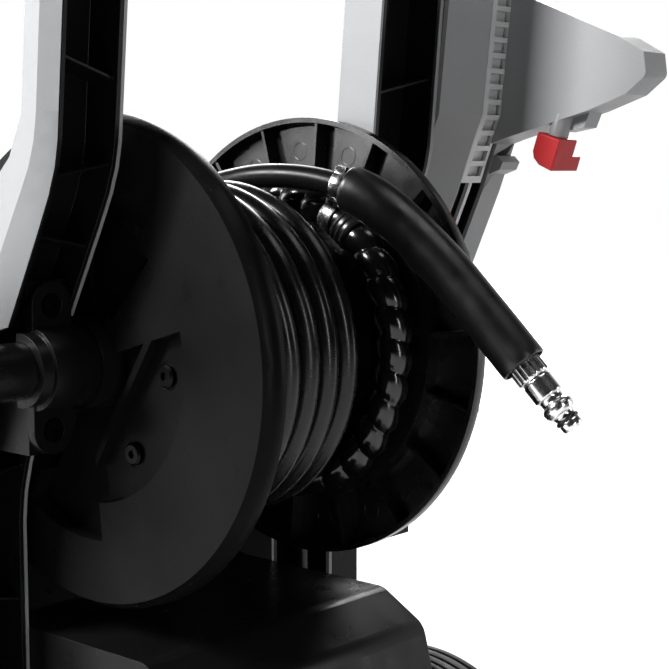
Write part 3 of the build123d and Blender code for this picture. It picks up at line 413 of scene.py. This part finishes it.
GREY = (0.20, 0.203, 0.208)
BLACK = (0.0035, 0.0035, 0.0037)
RED = (0.30, 0.012, 0.014)
PLASTICS = {
    # name: colour, roughness, and what differs from a usual grain
    "shell_grey": (GREY, 0.5, dict(grain=0.0001, scale=1500.0, vary=0.02, specular=0.35)),
    "ladder_grey": ((0.38, 0.385, 0.39), 0.45, dict(grain=0.00006, scale=1500.0, vary=0.02)),
    "black_plastic": (BLACK, 0.3, dict(grain=0.00006, scale=1250.0, specular=0.12)),
    "flange_black": (BLACK, 0.3, dict(grain=0.00008, scale=1100.0, specular=0.04)),
    "black_smooth": (BLACK, 0.27, dict(grain=0.00002, scale=900.0, specular=0.45)),
    "black_gloss": ((0.003, 0.003, 0.0033), 0.16, dict(grain=0.00002, scale=500.0, specular=0.6)),
    "motor_iron": ((0.03, 0.03, 0.033), 0.5, dict(scale=1200.0)),
    "axle_black": ((0.004, 0.004, 0.0042), 0.24, dict(grain=0.00002, scale=1500.0)),
    "red": (RED, 0.4, dict(grain=0.00002, scale=1500.0, vary=0.05, specular=0.2)),
    "tank": ((0.72, 0.73, 0.72), 0.4, dict(vary=0.03)),
}
METALS = {
    "chrome": ((0.93, 0.93, 0.94), 0.2, dict(scale=900.0, depth=0.0000004, spread=0.03)),
    "steel": ((0.66, 0.66, 0.67), 0.24, {}),
    "alu": ((0.66, 0.67, 0.69), 0.32, dict(stretch=(60.0, 60.0, 1.0))),
    "brass": ((0.72, 0.53, 0.26), 0.28, {}),
    "pump_alu": ((0.45, 0.45, 0.46), 0.5, dict(scale=200.0, depth=0.0001)),
    "screw_black": ((0.012, 0.012, 0.013), 0.35, {}),
    "filter": ((0.6, 0.6, 0.6), 0.4, dict(scale=1500.0, depth=0.0001)),
}
materials = {
    "hose_black": hose_rubber("hose_black", BLACK, 0.24, 0.36),
    "hose_dull": hose_rubber("hose_dull", BLACK, 0.3, 0.14),
    "rubber": rubber("rubber", (0.004, 0.004, 0.004), 0.32),
    "tyre": rubber("tyre", (0.012, 0.012, 0.012), 0.72, scale=500.0, depth=0.0002),
}
materials.update({name: plastic(name, c, rough, **more) for name, (c, rough, more) in PLASTICS.items()})
materials.update({name: metal(name, c, rough, **more) for name, (c, rough, more) in METALS.items()})


def paint(obj, slot_name, finish=None):
    """Material of a modelled piece: that of its slot, or another finish of the same stuff."""
    obj.data.materials.clear()
    obj.data.materials.append(materials[finish or slot_name])


# ---- CAD nodes that keep their shape ---------------------------------------------------
FINISH = {
    "left_flange": "flange_black", "right_flange": "black_smooth", "drum_core": "black_smooth",
    "pod_ladder": "ladder_grey",
}
ROUNDED = {                         # width of the rounded edges
    "left_flange": 0.0008, "right_flange": 0.0006,
    "left_side_shell": 0.0012, "right_side_shell": 0.0012,
    "left_post_channel": 0.0005, "right_post_channel": 0.0005, "post_bushes": 0.0008,
    "left_bearing_cap": 0.0009, "right_bearing_cap": 0.0009, "crank_arm": 0.0012,
    "side_pod": 0.0012, "pod_ladder": 0.0004, "pod_trough": 0.0005,
    "cord_arm": 0.0016, "cord_hook": 0.0009, "pipe_cover": 0.0012,
    "front_cover": 0.001, "switch_bezel": 0.0004, "tank_cap": 0.0005,
    "base_tray": 0.001, "front_feet": 0.0008, "pump_housing": 0.001,
    "left_wheel_rim": 0.0008, "right_wheel_rim": 0.0008, "left_tyre": 0.0008, "right_tyre": 0.0008,
}


def dress_cad_nodes():
    """Each CAD node takes the finish of its material slot, unless FINISH gives another."""
    for part in frame["record"]["subparts"]:
        obj = nodes[part["node"]]
        material = materials[FINISH.get(part["node"], part["material_slot"])]
        if not obj.material_slots:
            obj.data.materials.append(material)
        for slot in obj.material_slots:
            slot.material = material
        if part["node"] in ROUNDED:
            soften(obj, ROUNDED[part["node"]])


dress_cad_nodes()


# ---- hose ------------------------------------------------------------------------------
def plain_hose(name, line, body, step, around, finish=None):
    obj = tube_mesh(name, line, lambda s, a: HOSE_R + 0 * s, body, step, around)
    paint(obj, "hose_black", finish)
    return obj


tail_line = route([row(p) for p in TAIL])
hose = plain_hose("hose_end", tail_line, "root", 0.0015, 36, "hose_dull")
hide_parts("hose_tail")

PER_TURN = 24                       # route points in each turn of the wound hose
UPPER_TURNS, UPPER_PITCH = 6.35, 0.0157
SETTLE_TURNS = 0.35                 # the first turn comes down on the layer under it
LOWER_TURNS, LOWER_PITCH, LOWER_X = 7.5, 0.0150, 0.0355
LOWER_START = 0.4 - math.pi         # its end is hidden behind the drum
NESTING = 0.93                      # distance of the two layers, in hose diameters


def upper_layer():
    """Helix that leads back from the free end, a little uneven."""
    x0, y0, z0 = TAIL[0]
    start = math.atan2(z0 - REEL_Z, -y0)
    r_start = math.hypot(y0, z0 - REEL_Z)
    r_turn = COIL_R - HOSE_R
    points = []
    for i in range(int(PER_TURN * UPPER_TURNS) + 1):
        t = i / PER_TURN
        a = start + 2 * math.pi * t
        settle = min(1.0, t / SETTLE_TURNS)
        r = r_start + (r_turn - r_start) * settle * settle * (3 - 2 * settle)
        wobble = 0.0006 * math.sin(3.1 * a) + 0.0004 * math.sin(5.3 * a + 1.0)
        points.append(on_reel(x0 - UPPER_PITCH * t + wobble, r, a))
    return route(points, 6)


def lower_layer():
    """Helix under the upper one, wound the other way."""
    r = COIL_R - HOSE_R - 2 * HOSE_R * NESTING
    points = []
    for i in range(int(PER_TURN * LOWER_TURNS) + 1):
        t = i / PER_TURN
        points.append(on_reel(LOWER_X - LOWER_PITCH * t, r, LOWER_START - 2 * math.pi * t))
    return route(points, 6)


outer = plain_hose("wound_hose", upper_layer(), "reel", 0.003, 28)
plain_hose("wound_hose_lower", lower_layer(), "reel", 0.004, 20)
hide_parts("hose_coil")


def wrapped_hose():
    """Inlet end of the hose in a glossy spiral wrap that bulges between its bands."""
    line = np.array([on_reel(WRAP_X, WRAP_RING_R, a) for a in np.linspace(0, 2 * math.pi, 361)])
    bulges = 31
    length = 2 * math.pi * WRAP_RING_R
    neck, swell_height, lip_height = 0.0084, 0.0024, 0.0003

    def radius(s, a):
        phase = math.pi * bulges * s / length + 0.5 * a
        swell = np.abs(np.sin(phase)) ** 0.7
        round_trip = 2 * math.pi * s / length
        uneven = 0.0004 * np.sin(5 * round_trip) + 0.0003 * np.sin(3 * round_trip + a)
        band = np.exp(-(np.sin(phase) / 0.3) ** 2)
        lips = lip_height * band * np.sin(phase * 14)
        return neck + swell_height * swell + lips + uneven

    wrap = tube_mesh("spiral_wrap", line, radius, "reel", 0.0009, 56, closed=True)
    paint(wrap, "black_gloss")
    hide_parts("wrapped_hose")


wrapped_hose()


# ---- marks of the moulding tool on the far flange ----------------------------------------
MARK_X, MARK_RING_R = 0.089, 0.115


def ejector_marks():
    """Thin raised rings between the outer ribs of the flange, on its inner side."""
    rim = [(0.0050, 0.0), (0.0052, 0.00012), (0.0054, 0.00016), (0.0056, 0.00012), (0.0058, 0.0)]
    for number, angle in enumerate((75, 95, 115, 255, 275, 295)):
        centre = on_reel(MARK_X, MARK_RING_R, math.radians(angle))
        mark = lathe("ejector_mark_%d" % number, rim, centre, (-1, 0, 0), "reel", around=32, caps=False)
        paint(mark, "black_plastic", "black_smooth")


ejector_marks()


# ---- sleeve, fitting and clamps on the hose's free end ----------------------------------
tail_points, tail_s, tail_tangent = resample(tail_line, FINE)


def tail_index(y):
    """Index of the point where the free end reaches a y, measured from the reel's axis."""
    return int(np.argmin(np.abs(tail_points[:, 1] - (y + REEL_Y))))


def sleeve():
    """Rubber kink sleeve, hollow at both mouths and slightly uneven along its length."""
    start = float(tail_s[tail_index(SLEEVE_START_Y)])
    end = tail_s[-1]
    r = SLEEVE_R
    profile = [
        (start + 0.012, 0.0078), (start + 0.012, 0.0112), (start + 0.0008, 0.0116), (start, 0.0121),
        (start + 0.0002, 0.0129), (start + 0.0012, r), (start + 0.003, r),
    ]
    steps = 60
    for i in range(1, steps):
        t = i / steps
        bow = 0.00025 * math.sin(math.pi * t * 5) * (1 - t)
        profile.append((start + 0.003 + (end - start - 0.006) * t, r + bow))
    profile += [
        (end - 0.0012, r), (end - 0.0004, r - 0.0002), (end, r - 0.0007), (end - 0.0002, r - 0.0013),
        (end - 0.001, r - 0.0015), (end - 0.007, r - 0.0017), (end - 0.007, 0.0074),
    ]
    obj = sleeve_mesh("rubber_sleeve", tail_line, profile, "root")
    paint(obj, "rubber")
    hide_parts("hose_sleeve")
    return obj


def nipple():
    """Chrome quick-connect plug: fluted collar, cylinder, catch groove, bulge and tip."""
    origin, axis = tail_points[-1], tail_tangent[-1]
    mm = [                          # radius, distance past the end of the hose
        (0.0, -8), (7.4, -8), (7.4, -6.5), (9.0, -6.2), (9.5, -5.6), (9.7, -5.0), (9.7, 8.2),
        (9.4, 9.0), (8.8, 9.5), (8.0, 9.7), (8.0, 10.6), (8.5, 10.9), (8.65, 11.4), (8.65, 21.4),
        (8.3, 22.0), (7.3, 22.6), (6.9, 23.4), (6.9, 25.6), (7.3, 26.4), (8.5, 27.2), (9.05, 28.4),
        (9.2, 30.0), (8.9, 31.6), (8.0, 33.0), (6.7, 34.0), (6.2, 34.8), (6.15, 35.8), (5.0, 36.1),
        (5.0, 38.9), (6.1, 39.1), (6.25, 39.6), (6.25, 42.0), (5.9, 42.9), (5.3, 43.4),
        (4.3, 43.45), (3.6, 43.0), (3.1, 42.0), (2.9, 38.0), (2.9, 24.0), (0.0, 24.0),
    ]

    def flutes(angle, h):
        """Twelve grooves in the collar, which ends at 8.6 mm."""
        if not -0.0055 < h < 0.0086:
            return 0 * angle
        return -0.0007 * (0.5 + 0.5 * np.cos(12 * angle)) ** 3

    profile = [(r * MM, h * MM) for r, h in mm]
    obj = lathe("plug_body", profile, origin, axis, "root", around=144, flutes=flutes)
    paint(obj, "chrome")
    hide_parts("hose_nipple")
    groove = 36.1                   # mm, start of the groove that the seal lies in
    ring = [(6.55, 0.35), (6.85, 0.8), (6.95, 1.35), (6.85, 1.9), (6.55, 2.35)]
    bead = [(r * MM, (groove + h) * MM) for r, h in ring]
    bead = [(5.0 * MM, 36.25 * MM), *bead, (5.0 * MM, 38.75 * MM)]
    seal = lathe("seal_ring", bead, origin, axis, "root", around=72)
    paint(seal, "rubber")
    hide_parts("nipple_ring")
    return obj, seal


def ear_clamp(name, centre, axis, up, radius, body, width=0.0075):
    """Stainless ear clamp: a thin band with a pinched ear and an overlapping tongue."""
    d = np.array(Vector(axis).normalized())
    u = np.array(up, float)
    u -= d * u.dot(d)
    u /= np.linalg.norm(u)
    v = np.cross(d, u)
    count = 120
    ear_half, ear_height = 0.30, 0.0036     # half angle in radians, height
    thick, edge = 0.0009, 0.0002
    rings = []
    for i in range(count):
        a = 2 * math.pi * i / count
        off = (a + math.pi) % (2 * math.pi) - math.pi
        ear = max(0.0, 1 - abs(off) / ear_half)
        lift = ear_height * min(1.0, 1.9 * ear)
        tongue = 0.0005 if ear_half < off < 1.1 else 0.0
        rin = radius + lift + tongue
        rout = rin + thick
        half = width / 2 * (1.0 - 0.25 * ear)
        section = [
            (-half, rin), (-half, rout - edge), (-half * 0.9, rout),
            (half * 0.9, rout), (half, rout - edge), (half, rin), (0.0, rin),
        ]
        out = math.cos(a) * u + math.sin(a) * v
        rings.append([np.array(centre) + out * r + d * h for h, r in section])
    obj = grid_mesh(name, rings, body, np.arange(count) * 0.0005, closed=True, crisp=True)
    paint(obj, "steel")
    return obj


def clamps():
    """Clamp at the mouth of the sleeve, and clamp and collar at the end of the spiral wrap."""
    at = tail_index(SLEEVE_START_Y + 0.005)
    first = ear_clamp("ear_clamp", tail_points[at], tail_tangent[at], (-0.35, 0.1, 1.0), 0.0074, "root")
    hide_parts("hose_clamp")

    def wrap_place(degrees):
        a = math.radians(degrees)
        return a, on_reel(WRAP_X, WRAP_RING_R, a), (0.0, math.sin(a), math.cos(a))

    a, centre, along = wrap_place(61.0)
    ear = (-0.6, -0.8 * math.cos(a), 0.8 * math.sin(a))
    ear_clamp("wrap_clamp", centre, along, ear, 0.0108, "reel", 0.009)
    _, centre, along = wrap_place(52.0)
    half = [(0.0116, 0.001), (0.0116, 0.003), (0.0122, 0.004), (0.0118, 0.0055), (0.0095, 0.006)]
    collar = [(r, -h) for r, h in reversed(half)] + [(0.0122, 0.0)] + half
    end = lathe("wrap_collar", collar, centre, along, "reel")
    paint(end, "axle_black")
    return first


rubber_sleeve = sleeve()
plug, seal = nipple()
clamp = clamps()


# ---- light and floor -----------------------------------------------------------------------
SWEEP_SIDE = (0.7522, 0.6589, 0.0)    # level direction from the camera to the background
SWEEP = (-0.04, 0.10, 0.004, 0.75)    # from and to of the facing value, then both strengths
SWEEP_TOP = (0.25, 0.60, 1.0, 0.03)   # the same for the height of the view direction
LAMPS = [
    # name, place, target, size, watts
    ("key", (-1.95, 0.85, 1.75), (-0.1, -0.05, 0.45), (0.7, 0.7), 165.0),
    ("front_left", (-0.96, 2.06, 0.70), (0.0, -0.07, 0.45), (0.9, 1.2), 30.0),
    ("rear_left", (-1.96, 1.36, 0.72), (0.05, -0.08, 0.50), (0.30, 0.45), 12.0),
    ("strip", (-0.45, -2.0, 0.75), (0.05, -0.1, 0.45), (0.10, 1.4), 8.0),
    ("overhead", (0.15, -0.9, 2.1), (0, -0.1, 0.4), (1.2, 0.35), 5.0),
    ("right", (1.45, -1.5, 0.75), (-0.08, -0.2, 0.42), (0.35, 1.3), 6.0),
    ("floor_back", (3.3, 2.95, 2.7), (3.4, 3.0, 0.0), (3.7, 3.7), 760.0),
]


def world_light():
    """White sweep behind the machine, darker towards the camera; the background stays plain white."""
    world = bpy.data.worlds.new("studio")
    bpy.context.scene.world = world
    world.use_nodes = True
    tree = world.node_tree
    back = tree.nodes["Background"]
    back.inputs["Color"].default_value = (1, 1, 1, 1)
    coords = tree.nodes.new("ShaderNodeTexCoord")

    def fade(source, limits):
        made = tree.nodes.new("ShaderNodeMapRange")
        made.interpolation_type = "SMOOTHSTEP"
        for key, value in zip(("From Min", "From Max", "To Min", "To Max"), limits):
            made.inputs[key].default_value = value
        tree.links.new(source, made.inputs["Value"])
        return made.outputs["Result"]

    facing = tree.nodes.new("ShaderNodeVectorMath")
    facing.operation = "DOT_PRODUCT"
    facing.inputs[1].default_value = SWEEP_SIDE
    tree.links.new(coords.outputs["Generated"], facing.inputs[0])
    height = tree.nodes.new("ShaderNodeSeparateXYZ")
    tree.links.new(coords.outputs["Generated"], height.inputs["Vector"])
    lit = tree.nodes.new("ShaderNodeMath")
    lit.operation = "MULTIPLY"
    tree.links.new(fade(facing.outputs["Value"], SWEEP), lit.inputs[0])
    tree.links.new(fade(height.outputs["Z"], SWEEP_TOP), lit.inputs[1])
    seen = tree.nodes.new("ShaderNodeLightPath")
    mix = tree.nodes.new("ShaderNodeMix")
    mix.data_type = "FLOAT"
    tree.links.new(seen.outputs["Is Camera Ray"], mix.inputs["Factor"])
    tree.links.new(lit.outputs[0], mix.inputs["A"])
    mix.inputs["B"].default_value = 1.0
    tree.links.new(mix.outputs["Result"], back.inputs["Strength"])


def lamp(name, place, target, size, watts):
    data = bpy.data.lights.new(name, "AREA")
    data.shape = "RECTANGLE"
    data.size, data.size_y = size
    data.energy = watts
    obj = bpy.data.objects.new(name, data)
    bpy.context.collection.objects.link(obj)
    obj.location = place
    aim = Vector(target) - Vector(place)
    obj.rotation_euler = aim.to_track_quat("-Z", "Y").to_euler()


def make_floor():
    mesh = bpy.data.meshes.new("floor")
    half = 6.0
    corners = [(-half, -half, 0), (half, -half, 0), (half, half, 0), (-half, half, 0)]
    mesh.from_pydata(corners, [], [(0, 1, 2, 3)])
    floor = bpy.data.objects.new("floor", mesh)
    bpy.context.collection.objects.link(floor)
    p = Paint("floor_paint")
    tone = p.ramp(p.noise(3.0), (0.53, 0.53, 0.53), (0.57, 0.57, 0.57))
    floor.data.materials.append(p.finish(tone, Roughness=0.7, Specular_IOR_Level=0.1))


def studio():
    bpy.context.scene.view_settings.view_transform = "Standard"
    world_light()
    for line in LAMPS:
        lamp(*line)
    make_floor()


studio()
